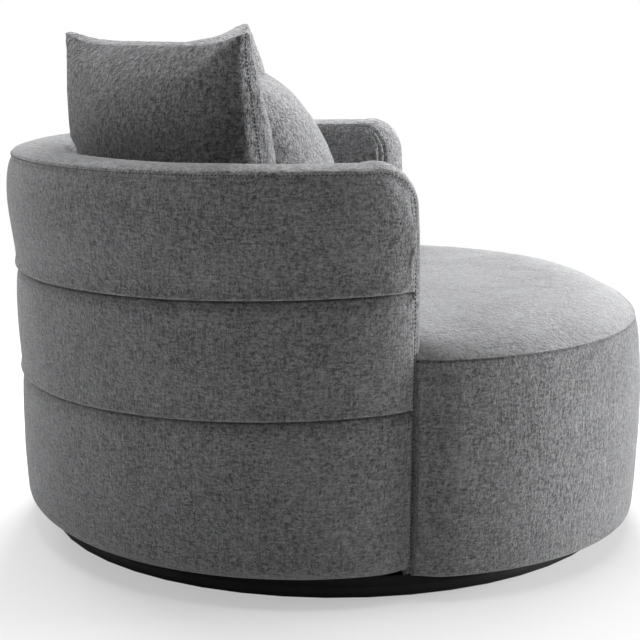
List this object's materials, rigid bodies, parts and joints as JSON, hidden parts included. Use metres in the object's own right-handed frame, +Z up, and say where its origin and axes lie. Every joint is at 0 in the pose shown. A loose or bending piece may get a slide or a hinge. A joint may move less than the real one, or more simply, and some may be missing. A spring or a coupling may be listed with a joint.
{
  "type": "cuddle chair",
  "caption": "Round upholstered swivel chair: a drum seat on a low plinth, a curved wall in padded bands as back and arms, and loose cushions.",
  "frame": {"origin": "on the floor under the middle of the swivel axis, at the underside of the centre floor glide", "axes": "+Z up along the swivel axis, -Y towards the front of the seat, +X towards the sitter's left arm"},
  "size_m": [1.2756, 1.2347, 0.9477],
  "materials": {
    "upholstery": "short dense grey pile with a fine mottled grain, soft sheen",
    "cushion": "the same grey pile, on loose filled cushions",
    "foam": "matt open-cell foam",
    "plywood": "bare plywood and board",
    "plinth_board": "matt black stained board",
    "steel": "plain zinc-plated steel",
    "nylon": "black moulded nylon",
    "webbing": "woven elastic webbing"
  },
  "bodies": {
    "base": {"floor_glide_1": "nylon", "floor_glide_2": "nylon", "floor_glide_3": "nylon", "floor_glide_4": "nylon", "floor_glide_5": "nylon", "floor_glide_6": "nylon", "centre_floor_glide": "nylon", "plinth_lower_board": "plinth_board", "plinth_upper_board": "plinth_board", "swivel_lower_plate": "steel", "lower_plate_screw_1": "steel", "lower_plate_screw_2": "steel", "lower_plate_screw_3": "steel", "lower_plate_screw_4": "steel", "pivot_bolt": "steel", "pivot_washer": "steel", "pivot_nut": "steel"},
    "ball_cage": {"ball_cage": "steel"},
    "chair": {"swivel_upper_plate": "steel", "upper_plate_screw_1": "steel", "upper_plate_screw_2": "steel", "upper_plate_screw_3": "steel", "upper_plate_screw_4": "steel", "platform_board": "plywood", "seat_frame_panel_1": "plywood", "seat_frame_panel_2": "plywood", "seat_frame_panel_3": "plywood", "seat_frame_panel_4": "plywood", "seat_frame_panel_5": "plywood", "seat_frame_panel_6": "plywood", "seat_webbing_1": "webbing", "seat_webbing_2": "webbing", "seat_webbing_3": "webbing", "seat_webbing_4": "webbing", "seat_webbing_5": "webbing", "front_hoop": "plywood", "seat_border": "upholstery", "seat_foam": "foam", "seat_top": "upholstery", "lower_back_band": "upholstery", "middle_back_band": "upholstery", "upper_back_band": "upholstery", "back_shell": "plywood", "inside_lining": "upholstery", "rim_rail": "plywood", "back_post_1": "plywood", "back_post_2": "plywood", "back_post_3": "plywood", "back_post_4": "plywood", "back_post_5": "plywood", "right_arm_post": "plywood", "left_arm_post": "plywood", "rim_strip": "upholstery", "right_arm_front": "upholstery", "left_arm_front": "upholstery"},
    "right_back_cushion": {"right_back_cushion": "cushion"},
    "left_back_cushion": {"left_back_cushion": "cushion"},
    "centre_cushion": {"centre_cushion": "cushion"}
  },
  "joints": [
    {"name": "swivel", "type": "hinge", "parent": "base", "child": "chair", "pos_m": [0, 0, 0.05], "axis": [0, 0, 1], "continuous": true},
    {"name": "ball_cage_turn", "type": "hinge", "parent": "base", "child": "ball_cage", "pos_m": [0, 0, 0.05], "axis": [0, 0, 1], "continuous": true},
    {"name": "right_back_cushion_lift", "type": "slide", "parent": "chair", "child": "right_back_cushion", "axis": [0, 0, 1], "range_m": [0, 0.5]},
    {"name": "left_back_cushion_lift", "type": "slide", "parent": "chair", "child": "left_back_cushion", "axis": [0, 0, 1], "range_m": [0, 0.5]},
    {"name": "centre_cushion_lift", "type": "slide", "parent": "chair", "child": "centre_cushion", "axis": [0, 0, 1], "range_m": [0, 0.5]}
  ],
  "couplings": [
    {"joint": "ball_cage_turn", "follows": "swivel", "ratio": 0.5}
  ]
}
